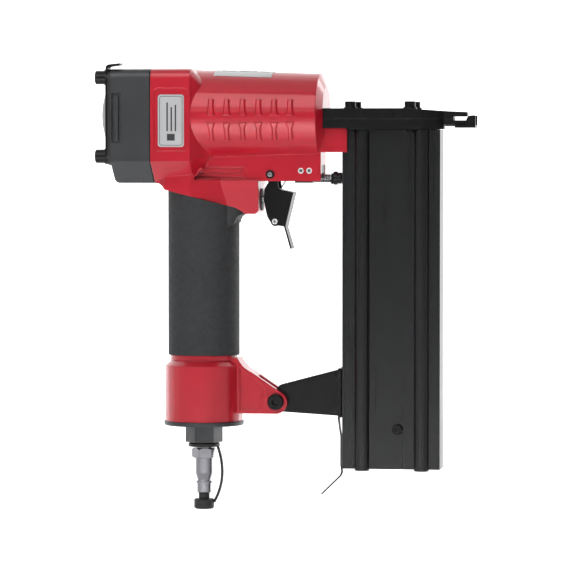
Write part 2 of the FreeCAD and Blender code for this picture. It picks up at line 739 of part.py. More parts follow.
def grip_sleeve():
    """The rubber grip: an oval sleeve cut to the neck's sloping edge, with a flare up to the valve boss."""
    sleeve = oval(dims.handle_long, dims.handle_short, dims.grip_bottom, -38)
    half = dims.boss_half_width - 0.8
    flare = common(
        plate("XZ", [
            (-150, -50), (-138, -56.8), (-137.3, -58.6), Arc((-142.1, -63.6), 5, 1), (-150, -69),
        ], -14, 14),
        plate("XY", [
            (-160, -half), (-145, -half), Arc((-134.5, -4.2), 11, 1), (-134.5, 4.2), Arc((-145, half), 11, 1),
            (-160, half),
        ], -80, -45),
    )
    above = plate("XZ", [
        (-190, -30), (-190, -42.3), (-145.3, -53.5), Arc((-135.6, dims.boss_bottom), 22, -1),
        (-120, dims.boss_bottom), (-120, -30),
    ], -30, 30)
    core = oval(dims.core_long, dims.core_short, dims.grip_bottom - 1, -30)
    node("grip_sleeve", cut(fuse([sleeve, flare]), [above, core, valve_cylinder()]))


def end_cap():
    """The threaded cap in the handle's base with its wrench hexagon, and the seal ring in its groove."""
    spigot = dims.base_bore - dims.running
    groove = dims.base_bottom + 4
    disc = turned("Z", HANDLE, [
        (groove + 4, 0), (groove + 4, spigot), (groove + 1.2, spigot), (groove + 1.2, spigot - 2),
        (groove - 1.2, spigot - 2), (groove - 1.2, spigot), (dims.base_bottom, spigot),
        (dims.base_bottom, dims.end_disc_radius), (dims.end_disc_bottom + 0.6, dims.end_disc_radius),
        (dims.end_disc_bottom, dims.end_disc_radius - 0.6), (dims.end_disc_bottom, 0),
    ])
    wrench = hexagon("Z", HANDLE, dims.end_hex_across, dims.end_hex_bottom, dims.end_disc_bottom, 10)
    thread = cylinder("Z", HANDLE, dims.plug_neck_radius, dims.end_hex_bottom - 1, groove + 5)
    node("end_cap", cut(fuse([disc, wrench]), [thread]))
    node("end_cap_seal", ring("Z", HANDLE, groove, spigot - 1, 0.95))


def air_plug():
    """The quick-connect plug: threaded neck, hexagon, waisted body, collar and tip, bored through."""
    neck_radius = dims.plug_neck_radius
    bottom = -232.4
    stem = turned("Z", HANDLE, [
        (-189, 0), (-189, neck_radius - 0.7), (-189.7, neck_radius), (-204.2, neck_radius), (-204.2, 5.8),
        (-210.3, 5.8), (-210.8, 5.5), (-219.8, 5.5), (-224, 4.15), (-224.8, 4.15), (-224.8, 5.1),
        (-226.2, 5.1), (-226.2, 4.45), (-231.8, 4.45), (bottom, 3.9), (bottom, 0),
    ])
    wrench = hexagon("Z", HANDLE, dims.plug_hex_across, -210.3, -204.2, 16)
    chamfer = turned("Z", HANDLE, [
        (-204.2, 0), (-204.2, 6.9), (-205, 7.7), (-209.5, 7.7), (-210.3, 6.9), (-210.3, 0),
    ])
    bore = cylinder("Z", HANDLE, dims.plug_bore, bottom - 1, -188)
    node("air_plug", cut(fuse([stem, common(wrench, chamfer)]), [bore]))


def dust_stopper():
    """The rubber stopper of the plug, held by a strap from a ring on the plug's neck."""
    radius = dims.stopper_radius
    stopper = turned("Z", HANDLE, [
        (-227.5, 0), (-227.5, 2.6), (-228.3, dims.plug_bore - 0.1), (-232.5, dims.plug_bore - 0.1),
        (-232.5, 3.4), (dims.stopper_top, 3.4), (dims.stopper_top, radius - 0.5), (dims.stopper_top - 0.5, radius),
        (dims.stopper_bottom + 0.8, radius), (dims.stopper_bottom, radius - 0.8), (dims.stopper_bottom, 0),
    ])
    node("dust_stopper", stopper)
    neck_ring = turned("Z", HANDLE, [
        (dims.end_hex_bottom - 0.4, dims.plug_neck_radius), (dims.end_hex_bottom - 0.4, 8.8),
        (-201.4, dims.strap_ring_radius), (-203.2, dims.strap_ring_radius), (-203.2, dims.plug_neck_radius),
    ])
    node("dust_ring", neck_ring)
    node("dust_strap", plate("XZ", [
        Arc((-152.5, -224), 95, -1), Arc((-157.2, -236.9), 15, -1), (-157.2, -238.8),
        Arc((-150.6, -224), 16.5, 1), Arc((-154.1, -203.3), 93, 1), (-155.8, -203.3),
    ], -2.2, 2.2))


# ---------------------------------------------------------------- trigger group

PIVOT = (dims.pivot_x, dims.pivot_height)
LEVER_PIN = (dims.lever_pin_x, dims.lever_pin_height)


def trigger():
    """A U of bent sheet hung on the pivot pin: two cheeks, a front web and a finger tail."""
    x, z = PIVOT
    half = dims.trigger_half_width
    cheeks = plate("XZ", [
        (x - 3.4, z), Arc((x + 3.4, z), 3.4, -1), (-115.5, -42.4), (-114.6, -43.2), (-106.3, -45),
        (-111.4, -66.3), (-119, -65), Arc((-123.1, -58.3), 12, -1), (-124.9, -50), (-124.5, -43), (-122, -38.7),
    ], -half, half)
    inside = half - dims.trigger_sheet
    hollow = plate("XZ", [
        (-130, -30), (-115.2, -30), (-115.2, -44.3), (-107.8, -45.8), (-112.7, -66.9), (-130, -66.9),
    ], -inside, inside)
    tail = plate("XZ", [
        (-111.1, -65.2), (-111.3, -66.6), (-109.8, -71.5), (-107.5, -79.7), (-108.5, -80), (-110.8, -71.8),
        (-112.4, -66.4), (-112.1, -65.2),
    ], -inside, inside)
    eye = cylinder("Y", PIVOT, dims.pivot_radius + dims.running, -half - 1, half + 1)
    pin_hole = cylinder("Y", LEVER_PIN, dims.lever_pin_radius, -half - 1, half + 1)
    node("trigger", cut(fuse([cut(cheeks, [hollow]), tail]), [eye, pin_hole]))


def trigger_pins():
    reach = dims.belly_half_width + 1.2
    node("trigger_pin", cylinder("Y", PIVOT, dims.pivot_radius, -reach, reach))
    clips = []
    for side in (-1, 1):
        centre = side * (dims.belly_half_width + 0.5)
        clips.append(tube("Y", PIVOT, 2.6, dims.pivot_radius, centre - 0.5, centre + 0.5))
    node("trigger_pin_clips", fuse(clips))
    half = dims.trigger_half_width + 0.2
    node("lever_pin", tube("Y", LEVER_PIN, dims.lever_pin_radius, dims.lever_pin_bore, -half, half))


def trigger_spring():
    """The torsion spring round the pivot pin, with one leg on the body and one on the trigger."""
    x, z = PIVOT
    wound = coil("Y", PIVOT, 2.1, 0.4, -2.2, 2.2, 3)
    leg = plate("XZ", [
        (x + 1.6, z - 1.5), (-112.2, -37), (-115.3, -42), (-114.7, -42.3), (-111.4, -36.9), (x + 2, z - 1),
    ], 0.9, 2.1)
    node("trigger_spring", fuse([wound, leg]))


def trip_lever():
    """The lever inside the trigger that passes the contact rod's push to the valve stem."""
    half = dims.trigger_half_width - dims.trigger_sheet - 0.3
    x, z = LEVER_PIN
    arm = plate("XZ", [
        (x - 2.9, -44), (x - 1.7, -42.6), (x - 1.7, -58.6), (x + 2.2, -60.4), (x + 2.9, z),
        Arc((x - 2.9, z), 2.9, -1),
    ], -half, half)
    eye = cylinder("Y", LEVER_PIN, dims.lever_pin_radius + dims.running, -half - 1, half + 1)
    middle = box((-130, -100), (-half + 1.2, half - 1.2), (-70, -59))
    node("trip_lever", cut(arm, [eye, middle]))


def trigger_valve():
    axis = (0, dims.valve_height)
    bore = dims.valve_bore
    front = dims.boss_front
    valve_body = turned("X", axis, [
        (-150, 1.65), (-150, bore - 0.02), (-146, bore - 0.02), (-146, bore - 1.8), (-143.8, bore - 1.8),
        (-143.8, bore - 0.02), (-134, bore - 0.02), (-134, bore - 1.8), (-131.8, bore - 1.8),
        (-131.8, bore - 0.02), (front, bore - 0.02), (front, 6.9), (front + 0.6, 6.9), (front + 0.6, 2.55),
        (-130, 2.55), (-130, 3.8), (-146, 3.8), (-146, 1.65),
    ])
    sides = [box((front, front + 1), side, (-60, -38)) for side in ((-10, -5.4), (5.4, 10))]
    node("trigger_valve_body", cut(valve_body, sides))
    node("valve_rings", fuse([
        ring("X", axis, -144.9, bore - 0.9, 0.8), ring("X", axis, -132.9, bore - 0.9, 0.8)]))
    node("valve_stem", turned("X", axis, [
        (-149.5, 0), (-149.5, 1.2), (-149.1, 1.6), (-137, 1.6), (-137, 3.5), (-132.6, 3.5),
        (-132.6, 2.5), (-122, 2.5), (-121.3, 1.8), (-121.3, 0),
    ]))
    node("valve_spring", coil("X", axis, 2.6, 0.35, -145.8, -137.1, 5))


# ---------------------------------------------------------------- contact safety

ROD = (0, dims.rod_height)


def ear_pins():
    half = dims.belly_half_width
    pins = [
        tube("Y", (x, dims.ear_pin_height), dims.ear_pin_radius, dims.ear_pin_bore, -half, half)
        for x in (dims.ear_pin_rear, dims.ear_pin_front)
    ]
    node("ear_pins", fuse(pins))


def rod_guide():
    """The guide block between the ears, held by the two hollow pins; the contact spring rests on its front."""
    half = dims.ear_gap
    block = plate("XZ", [
        (-105.3, -39.1), (-94.3, -39.1), (-94.3, -28.2), (-103.5, -28.2), (-105.3, -30),
    ], -half, half)
    bore = cylinder("X", ROD, dims.rod_radius + dims.running, -110, -90)
    node("rod_guide", cut(block, ear_pin_holes(10) + [bore]))
    node("rod_bracket", box((-90, -88.9), (-half, half), (-32.9, -28)))


def safety_rod():
    node("safety_rod", turned("X", ROD, [
        (-108.6, 0), (-108.6, 1.3), (-108, dims.rod_radius), (-77, dims.rod_radius), (-76.7, 1.6), (-76.7, 0),
    ]))
    node("contact_spring", coil("X", ROD, dims.contact_spring_radius, dims.spring_wire, -94.2, -83.35, 9))
    knob = turned("X", ROD, [
        (-82.1, dims.rod_radius), (-82.1, 3.9), (-81.8, 4.2), (-79.6, 4.2), (-79.6, 3.2), (-78.9, 3.2),
        (-78.9, 3.6), (-77.2, 3.6), (-77.2, 3.1), (-76.9, dims.rod_radius),
    ])
    node("adjuster_nut", knob)


def contact_arm():
    """The sheet arm: a tab on the rod, a strip along the far side and a U-shaped foot round the nose."""
    inner = dims.arm_side
    outer = dims.arm_side + dims.arm_sheet
    tab = box((-83.3, -82.1), (-3.6, outer), (-39.8, -33.2))
    hole = cylinder("X", ROD, dims.rod_radius, -84, -81)
    side = plate("XZ", [
        (-83.3, -39.8), (-76.2, -39.8), (-76.2, -20), (-18.6, -20), (-18.6, -4.1), (-6.4, -4.1), (-6.4, -0.9),
        (-23.6, -0.9), (-23.6, -9.2), (-78.8, -9.2), (-78.8, -33.2), (-83.3, -33.2),
    ], inner, outer)
    across = box((-6.4, -1), (4.8, outer), (-4.1, -0.9))
    floor = box((-6.4, dims.foot_front), (-6.8, 6.8), (-5.2, -3.6))
    leg = [
        (0.6, -5.2), (dims.foot_front, -5.2), (dims.foot_front, 2.4), (3.3, 2.4), Arc((0.6, -1.7), 3.6, 1),
    ]
    near = plate("XZ", leg, -6.8, -4.9)
    far = plate("XZ", leg, 4.9, 6.8)
    link = box((-6.4, 0.6), (4.9, 6.8), (-5.2, -0.9))
    node("contact_arm", fuse([cut(tab, [hole]), side, across, floor, near, far, link]))


# ---------------------------------------------------------------- nose

def nose_plan(low, high):
    """The nose plates' outline seen from above; the contact arm passes along the far side."""
    half = dims.nose_half_width
    tip = dims.prong_half_width
    return plate("XY", [
        (dims.barrel_front, -half), (-25, -half), (-13.4, -tip), (1.1, -tip), (1.1, tip), (-13.4, tip),
        (-24.6, 13.7), (-28.8, 13.7), (-28.8, half), (dims.barrel_front, half),
    ], low, high)


def nose_plates():
    seam = dims.seam_height
    holes = [cylinder("Z", place_xy, dims.nose_screw_radius, -12, 12) for place_xy in NOSE_SCREW_PLACES]
    width = dims.channel_half_width
    height = dims.channel_half_height
    channel = box((dims.barrel_front - 1, 2), (-width, width), (-height, height))
    throat = box((dims.mag_rear + 6, dims.mag_front), (-width, width), (dims.guide_bottom - 1, 0))
    lower_side = plate("XZ", [
        (dims.barrel_front, dims.guide_step), (-72.3, dims.guide_step), (-72.3, dims.guide_bottom),
        (-13.3, dims.guide_bottom), (-13.3, -3.3), (-0.4, -3.3), (0, -2.6), (0, -0.6), (-7.3, -0.6),
        (-7.3, seam), (dims.barrel_front, seam),
    ], -20, 20)
    guide = common(nose_plan(-10, 2), lower_side)
    node("driver_guide", cut(guide, holes + [channel, throat]))
    upper_side = plate("XZ", [
        (dims.barrel_front, seam), (-7.3, seam), (-7.3, 1.7), (1.1, 1.7), (1.1, 4.1), (0.5, 4.5), (-9, 4.9),
        (-27.7, 6.1), (-36, dims.cover_top), (dims.barrel_front, dims.cover_top),
    ], -20, 20)
    cover = common(nose_plan(0, 8), upper_side)
    pads = [cylinder("Z", place_xy, 4.3, 4, dims.cover_top) for place_xy in NOSE_SCREW_PLACES[2:]]
    node("driver_cover", cut(fuse([cover, common(fuse(pads), nose_plan(0, 8))]), holes + [channel]))


def nose_screws():
    screws = []
    washers = []
    base_height = dims.cover_top
    for place_xy in NOSE_SCREW_PLACES:
        screw = turned("Z", place_xy, [
            (-8, 0), (-8, dims.nose_screw_radius), (base_height + 0.6, dims.nose_screw_radius),
            (base_height + 0.6, dims.nose_screw_head), (base_height + 3.9, dims.nose_screw_head),
            (base_height + 4.2, 3.1), (base_height + 4.2, 0),
        ])
        screws.append(cut(screw, [hexagon("Z", place_xy, 3, base_height + 2, base_height + 5)]))
        washers.append(tube("Z", place_xy, 4.2, dims.nose_screw_radius, base_height, base_height + 0.6))
    node("nose_screws", fuse(screws))
    node("nose_washers", fuse(washers))


# ---------------------------------------------------------------- magazine

def magazine_cover():
    """The sliding outer cover: a ribbed channel, open along its rear so that it clears the bracket."""
    half = dims.mag_half_width
    wall = dims.mag_wall
    outer = box((dims.mag_rear, dims.mag_front), (-half, half), (dims.mag_bottom, dims.mag_top))
    inner = box((dims.mag_rear + wall, dims.mag_front - wall), (-half + wall, half - wall),
                (dims.mag_bottom - 1, dims.mag_top + 1))
    slot = box((dims.mag_rear - 1, dims.mag_rear + 2), (-5.4, 5.4), (dims.mag_bottom - 1, dims.mag_top + 1))
    ridges = []
    rise = dims.ridge_rise
    radius = dims.ridge_radius
    for x in (dims.ridge_rear_x, dims.ridge_front_x):
        for side in (-1, 1):
            crest = cylinder("Z", (x, side * (half + rise - radius)), radius, dims.mag_bottom - 1, dims.mag_top)
            foot = [side * (half - 0.75) - 0.75, side * (half - 0.75) + 0.75]
            ridges.append(fuse([crest, box((x - radius, x + radius), foot, (dims.mag_bottom - 1, dims.mag_top))]))
    screw = cylinder("Y", (dims.mag_screw_x, dims.mag_screw_height), 1.6, -12, 0)
    node("magazine_cover", cut(fuse([outer] + ridges), [inner, slot, screw]))


def magazine_rail():
    """The fixed inner magazine: a rectangular tube under the guide, with a pad for the bracket."""
    half = dims.rail_half_width
    wall = dims.rail_wall
    rear = dims.mag_rear + 2
    front = dims.mag_front - 2
    outer = box((rear, front), (-half, half), (dims.rail_bottom, dims.guide_bottom))
    inner = box((rear + wall, front - wall), (-half + wall, half - wall),
                (dims.rail_bottom - 1, dims.guide_bottom - 3))
    mouth = box((dims.mag_rear + 6, front - wall), (-1.6, 1.6), (dims.guide_bottom - 4, dims.guide_bottom + 1))
    pad = box((-76.4, rear), (-4.8, 4.8), (-184, -153))
    window = box((-66, -21), (-half - 1, -half + wall + 1), (-140, -14))
    node("magazine_rail", cut(fuse([outer, pad]), [inner, mouth, window] + rivet_holes(-80, rear + wall)))


def magazine_inside():
    half = dims.rail_half_width - dims.rail_wall - 0.3
    top = dims.guide_bottom - 3.2
    low = top - dims.pusher_height
    rear = dims.mag_rear + 2 + dims.rail_wall + 0.3
    front = dims.mag_front - 2 - dims.rail_wall - 0.3
    block = plate("XZ", [(rear, low), (front, low), (front, top), (rear, top)], -half, half)
    rod_hole = cylinder("Z", (dims.pusher_rod_x, 0), dims.pusher_rod_radius + dims.running, low - 1, top + 1)
    blade = box((rear + 4, front - 2), (-0.6, 0.6), (top, dims.guide_bottom - 0.6))
    clear = cylinder("Z", (dims.pusher_rod_x, 0), 2.4, top - 1, dims.guide_bottom)
    node("nail_pusher", cut(fuse([block, blade]), [rod_hole, clear]))
    end_top = dims.rail_bottom - 2
    inside = dims.mag_half_width - dims.mag_wall
    node("pusher_rod", cylinder("Z", (dims.pusher_rod_x, 0), dims.pusher_rod_radius, end_top - 8, top - 4))
    node("pusher_spring", coil("Z", (dims.pusher_rod_x, 0), 3.3, 0.5, end_top + 0.1, low - 0.1, 26))
    end = box((dims.mag_rear + dims.mag_wall, dims.mag_front - dims.mag_wall), (-inside, inside),
              (dims.mag_bottom, end_top))
    rod_seat = cylinder("Z", (dims.pusher_rod_x, 0), dims.pusher_rod_radius, end_top - 8, end_top + 1)
    screw = cylinder("Y", (dims.mag_screw_x, dims.mag_screw_height), 1.6, -12, -2)
    node("magazine_end", cut(end, [rod_seat, screw]))


def magazine_screw():
    place_xz = (dims.mag_screw_x, dims.mag_screw_height)
    face = -dims.mag_half_width
    radius = dims.mag_screw_radius
    screw = turned("Y", place_xz, [
        (face - 2.6, 0), (face - 2.6, radius - 0.4), (face - 2.2, radius), (face, radius), (face, 1.6), (-2.4, 1.6),
        (-2.4, 0),
    ])
    node("magazine_screw", cut(screw, [hexagon("Y", place_xz, 2.5, face - 3, face - 1)]))


def magazine_bracket():
    """The bent sheet between the handle's lug and the magazine rail."""
    half = 4.5
    sheet_thickness = dims.bracket_sheet
    cheeks = plate("XZ", [
        (dims.lug_x, dims.lug_height - 6.2), Arc((-118.5, dims.lug_height + 6), 6.2, -1), (-115.3, -164.3),
        (-79, -154.6), (-76.4, -154.6), (-76.4, -183.0), (-79, -183.0),
    ], -half, half)
    hollow = box((-130, dims.bracket_face), (-half + sheet_thickness, half - sheet_thickness), (-190, -150))
    flat = plate("YZ", [
        (-9, -181.9), (-7, -183.9), (7, -183.9), (9, -181.9), (9, -155.5), (7, -153.5), (-7, -153.5), (-9, -155.5),
    ], dims.bracket_face, dims.bracket_face + 2)
    dimples = [
        box((-81.5, dims.bracket_face), (side * 5.2 - 0.8, side * 5.2 + 0.8), (z - 2, z + 2))
        for side in (-1, 1) for z in (-159, -178.5)
    ]
    bolt = cylinder("Y", (dims.lug_x, dims.lug_height), dims.bracket_bolt_radius, -12, 12)
    node("magazine_bracket", cut(fuse([cut(cheeks, [hollow]), flat] + dimples), [bolt] + rivet_holes(-80, -70)))


def bracket_fasteners():
    place_xz = (dims.lug_x, dims.lug_height)
    half = dims.lug_half_width
    radius = dims.bracket_bolt_radius
    bolt = turned("Y", place_xz, [
        (-half - 2.6, 0), (-half - 2.6, 4.2), (-half - 1.8, 5), (-half, 5), (-half, radius), (half + 6, radius),
        (half + 6, 0),
    ])
    node("bracket_bolt", cut(bolt, [hexagon("Y", place_xz, 4, -half - 3, -half - 0.6)]))
    nut = cut(hexagon("Y", place_xz, 10, half, half + 5), [cylinder("Y", place_xz, radius, half - 1, half + 6)])
    node("bracket_nut", nut)
    rivets = []
    face = dims.bracket_face
    for z in RIVET_HEIGHTS:
        rivets.append(turned("X", (0, z), [
            (face - 1.5, 0), (face - 1, 1.8), (face, 2.8), (face, dims.rivet_radius), (-70.9, dims.rivet_radius),
            (-70.9, 0),
        ]))
    node("bracket_rivets", fuse(rivets))


def latch_strip():
    """The spring-steel strip that hangs below the bracket from a bead and hooks the magazine's lower corner."""
    bead = cylinder("Y", (dims.latch_x, dims.latch_height), 0.6, -2, 2)
    strip = plate("XZ", [
        (-78.3, -184.6), (-77.8, -190), (-76.9, -196), (-76.9, -213.5), (-76.1, -217.8),
        (-77.0, -220.4), (-89.1, -232.2), (-89.7, -231.6), (-77.9, -220), (-77.1, -217.6), (-77.7, -213.5),
        (-77.7, -196), (-78.6, -190), (-79.3, -184.6),
    ], -2, 2)
    node("latch_strip", fuse([bead, strip]))


def check(objects):
    """Stop when any object failed or any sub-part is empty or not valid."""
    for item in objects:
        if "Invalid" in item.State or "Error" in item.State:
            raise RuntimeError("%s (%s) failed: %s" % (item.Name, item.Label, item.getStatusString()))
    for name, item in NODES.items():
        if item.Shape.isNull() or not item.Shape.isValid() or item.Shape.Volume <= 0:
            raise RuntimeError("%s has no valid shape" % name)


PARTS = (
    gun_body, cylinder_liner, piston, driver_blade, bumper, head_valve, rear_cap, exhaust_plate, cap_bolts, labels,
    grip_sleeve, end_cap, air_plug, dust_stopper, trigger, trigger_pins, trigger_spring, trip_lever, trigger_valve,
    ear_pins, rod_guide, safety_rod, contact_arm, nose_plates, nose_screws, magazine_cover, magazine_rail,
    magazine_inside, magazine_screw, magazine_bracket, bracket_fasteners, latch_strip,
)

for make in PARTS:
    make()
doc.recompute()
check(doc.Objects)
os.makedirs("parts", exist_ok=True)
for name, item in NODES.items():
    item.Shape.exportStep("parts/%s.step" % name)
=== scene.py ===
import json
import math

import bmesh
import bpy
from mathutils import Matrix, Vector


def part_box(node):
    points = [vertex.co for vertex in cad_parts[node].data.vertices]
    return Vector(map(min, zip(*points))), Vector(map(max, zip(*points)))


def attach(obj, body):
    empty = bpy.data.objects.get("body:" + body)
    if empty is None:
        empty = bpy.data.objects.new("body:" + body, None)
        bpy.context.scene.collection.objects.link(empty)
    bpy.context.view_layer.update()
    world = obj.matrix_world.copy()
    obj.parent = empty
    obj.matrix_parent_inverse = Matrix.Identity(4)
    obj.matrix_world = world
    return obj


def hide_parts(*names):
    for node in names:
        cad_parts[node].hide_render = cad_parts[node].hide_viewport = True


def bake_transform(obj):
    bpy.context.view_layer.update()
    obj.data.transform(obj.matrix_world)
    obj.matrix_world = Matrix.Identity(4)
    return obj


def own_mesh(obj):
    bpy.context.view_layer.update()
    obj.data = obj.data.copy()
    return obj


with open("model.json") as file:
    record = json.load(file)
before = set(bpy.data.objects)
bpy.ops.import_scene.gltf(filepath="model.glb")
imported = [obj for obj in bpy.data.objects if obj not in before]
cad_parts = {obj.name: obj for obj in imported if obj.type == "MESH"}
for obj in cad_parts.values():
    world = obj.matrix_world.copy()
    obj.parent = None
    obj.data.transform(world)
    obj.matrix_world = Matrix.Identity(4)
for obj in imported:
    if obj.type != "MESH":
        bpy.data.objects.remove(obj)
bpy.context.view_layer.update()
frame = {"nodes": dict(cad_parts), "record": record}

MM = 0.001

# The camera: degrees towards the tool's front and down, metres from the tool's middle, and the lens in mm.
MIDDLE = Vector((-0.1126, 0, -0.1025))
CAMERA_TURN = 8.8
CAMERA_TILT = 2.3
CAMERA_DISTANCE = 2.2
CAMERA_LENS = 224.1
CAMERA_SENSOR = 36

# The stage: the table lies low enough for the magazine's full slide, and places are along Y.
FLOOR = -0.345
WALL = 2.2
TABLE_FRONT = -2.8
TABLE_WIDTH = 12
# The table's glow in front of and behind the tool, with a painted shadow under the tool between the two
# fades.
GLOW_FRONT = 0.40
GLOW_BACK = 0.80
FRONT_FADE_TO_PAINTED_SHADOW = (-0.45, -0.12)
BACK_FADE_FROM_PAINTED_SHADOW = (0.04, 0.17)
WALL_GLOW = 0.95

# The lamps: the height that the softboxes aim at, the light from all round, and the lamp over the table.
LAMP_AIM = -0.08
WORLD_LIGHT = 0.13
SOFTBOXES = (
    # name, bearing and elevation in degrees, distance, width and height in metres, radiance
    ("key_high", -30, 42, 1.3, 1.35, 0.80, 2.55),
    ("key_skirt", -30, 18, 1.3, 1.35, 0.20, 1.0),
    ("overhead", 0, 88, 1.7, 1.5, 1.3, 0.55),
    ("fill_left", -95, 8, 1.3, 0.7, 0.8, 0.35),
    ("rim_right", 138, 5, 1.1, 0.20, 0.75, 3.2),
    ("rim_left", -135, 5, 1.1, 0.25, 0.6, 0.6),
)
POOL_PLACE = Vector((MIDDLE.x, -0.66, 0.95))
POOL_SIZE = (0.9, 0.25)
POOL_RADIANCE = 6.5
POOL_SPREAD = 42

# The finishes: a Mix node's colour sockets, how far a colour strays, the noises' scales per metre, and the
# wear that bares the steel along sharp edges, which also paints a highlight along them.
MIX_FIRST = 6
MIX_SECOND = 7
MIX_RESULT = 2
MOTTLE = 0.06
MOTTLE_SCALE = 38
CHIP_SCALE = 220
STREAK_SCALE = 260
SMUDGE_SCALE = 160
WEAR_RADIUS = 0.6 * MM
WEAR_RANGE = (0.90, 0.995)
CHIP_RANGE = (0.45, 0.7)
BARE_STEEL_AND_SHEEN = (0.30, 0.30, 0.31)

# The prints: the ink's thickness, how far out a ray starts, the gap that is welded, the vertices of a point
# pair (two points, each on the skin and lifted), and the steps of a rounded corner.
INK = 0.00004
REACH = 0.06
WELD = 1e-7
PAIR_CORNERS = 4
CORNER_STEPS = 6

# A side label's frame, block and rules: numbers without MM are shares of half the label's width or height.
FRAME_MARGIN = 0.9 * MM
FRAME_CORNER = 1.6 * MM
FRAME_LINE = 0.3 * MM
BLOCK_HEIGHTS = (-0.76, -0.50)
BLOCK_REACH = 0.30
RULE_FOOT = -0.40
RULE_WIDTH = 0.9 * MM
RULES = ((-0.34, 0.70), (-0.02, 0.52), (0.30, 0.61))

# The top label's rules: degrees round the barrel, and mm along it.
ROW_ANGLES = ((8, 12), (-12, -8))
ROW_RUNS = ((-14, -5), (-3, 8), (10, 15))
ROW_STEPS = 4

# The coils and the dust strap, whose root, tip and bulge are measured from its CAD solid's box.
COIL_STEPS = 20
WIRE_SIDES = 8
STRAP_STEPS = 28
STRAP_SIDES = 14
STRAP_INSET = 0.1 * MM
STRAP_HALF_THICK = 0.85 * MM
STRAP_ROOT = 4.4 * MM
STRAP_TIP = 0.9 * MM
STRAP_BULGE = 2.2 * MM
STRAP_SAG = 0.55


# ---------------------------------------------------------------- materials

class Nodes:
    """A short way to build a material's node tree."""

    def __init__(self, name):
        self.material = bpy.data.materials.new(name)
        self.material.use_nodes = True
        self.tree = self.material.node_tree
        self.shader = self.tree.nodes["Principled BSDF"]
        self.place = self.add("ShaderNodeTexCoord").outputs["Object"]

    def add(self, kind, **settings):
        """A new node with its settings."""
        made = self.tree.nodes.new(kind)
        for key, value in settings.items():
            setattr(made, key, value)
        return made

    def link(self, source, target):
        """Join an output to an input."""
        self.tree.links.new(source, target)

    def noise(self, scale, detail=3.0, roughness=0.5, stretch=None):
        """A noise over the piece's own coordinates, drawn out along an axis where stretch says so."""
        made = self.add("ShaderNodeTexNoise")
        made.inputs["Scale"].default_value = scale
        made.inputs["Detail"].default_value = detail
        made.inputs["Roughness"].default_value = roughness
        source = self.place
        if stretch:
            mapping = self.add("ShaderNodeMapping")
            mapping.inputs["Scale"].default_value = stretch
            self.link(self.place, mapping.inputs["Vector"])
            source = mapping.outputs["Vector"]
        self.link(source, made.inputs["Vector"])
        return made.outputs["Fac"]

    def spread(self, source, low, high, start=0.3, stop=0.7):
        """Map the values between start and stop to those between low and high."""
        made = self.add("ShaderNodeMapRange")
        made.inputs["From Min"].default_value = start
        made.inputs["From Max"].default_value = stop
        made.inputs["To Min"].default_value = low
        made.inputs["To Max"].default_value = high
        self.link(source, made.inputs["Value"])
        return made.outputs["Result"]

    def blend(self, factor, first, second):
        """Mix two colours, each a plain colour or an output, by a factor."""
        made = self.add("ShaderNodeMix", data_type="RGBA")
        self.link(factor, made.inputs["Factor"])
        for socket, colour in ((made.inputs[MIX_FIRST], first), (made.inputs[MIX_SECOND], second)):
            if isinstance(colour, tuple):
                socket.default_value = (*colour, 1)
            else:
                self.link(colour, socket)
        return made.outputs[MIX_RESULT]

    def edges(self, radius):
        """The normal of slightly rounded edges."""
        made = self.add("ShaderNodeBevel", samples=6)
        made.inputs["Radius"].default_value = radius
        return made.outputs["Normal"]

    def bump(self, height, distance, normal, strength=1.0):
        """A normal that a height pattern disturbs."""
        made = self.add("ShaderNodeBump")
        made.inputs["Strength"].default_value = strength
        made.inputs["Distance"].default_value = distance
        self.link(height, made.inputs["Height"])
        self.link(normal, made.inputs["Normal"])
        return made.outputs["Normal"]

    def edge_wear_and_sheen(self):
        """How much a bevelled normal leaves the real one: a mask that is 1 along sharp edges, for worn edges
        that also paint a highlight along them.
        """
        dot = self.add("ShaderNodeVectorMath", operation="DOT_PRODUCT")
        self.link(self.edges(WEAR_RADIUS), dot.inputs[0])
        self.link(self.add("ShaderNodeNewGeometry").outputs["Normal"], dot.inputs[1])
        return self.spread(dot.outputs["Value"], 1.0, 0.0, *WEAR_RANGE)


def finish(name, colour, roughness, edge, grain, metallic=0.0, coat=0.0, specular=0.5, brushed=None,
           worn=0.0, spread=0.06):
    """One surface finish: broad colour mottling, fine grain in the bump, rounded edges, and worn edges whose
    bare steel also paints a highlight along them.

    edge is the rounding in mm, grain the bump's scale and depth, brushed a stretch for streaks along an axis,
    worn how far bare metal, which is also a painted edge highlight, shows at the edges, and spread how much
    the roughness varies.
    """
    made = Nodes(name)
    shader = made.shader
    darker = tuple(channel * (1 - MOTTLE) for channel in colour)
    lighter = tuple(min(1, channel * (1 + MOTTLE)) for channel in colour)
    tone = made.blend(made.spread(made.noise(MOTTLE_SCALE, detail=4), 0, 1), darker, lighter)
    # Bare steel at worn sharp edges, which also paints a highlight along them.
    if worn:
        mask = made.add("ShaderNodeMath", operation="MULTIPLY")
        made.link(made.edge_wear_and_sheen(), mask.inputs[0])
        chips = made.noise(CHIP_SCALE, detail=5, roughness=0.65)
        made.link(made.spread(chips, 0, worn, *CHIP_RANGE), mask.inputs[1])
        tone = made.blend(mask.outputs["Value"], tone, BARE_STEEL_AND_SHEEN)
    made.link(tone, shader.inputs["Base Color"])
    streaks = made.noise(STREAK_SCALE if brushed else SMUDGE_SCALE, detail=4, roughness=0.6, stretch=brushed)
    made.link(made.spread(streaks, roughness - spread, roughness + spread), shader.inputs["Roughness"])
    shader.inputs["Metallic"].default_value = metallic
    shader.inputs["Coat Weight"].default_value = coat
    shader.inputs["Coat Roughness"].default_value = 0.12
    shader.inputs["Specular IOR Level"].default_value = specular
    grain_scale, grain_depth = grain
    grain_height = made.noise(grain_scale, detail=2, stretch=brushed)
    made.link(made.bump(grain_height, grain_depth, made.edges(edge * MM)), shader.inputs["Normal"])
    return made.material


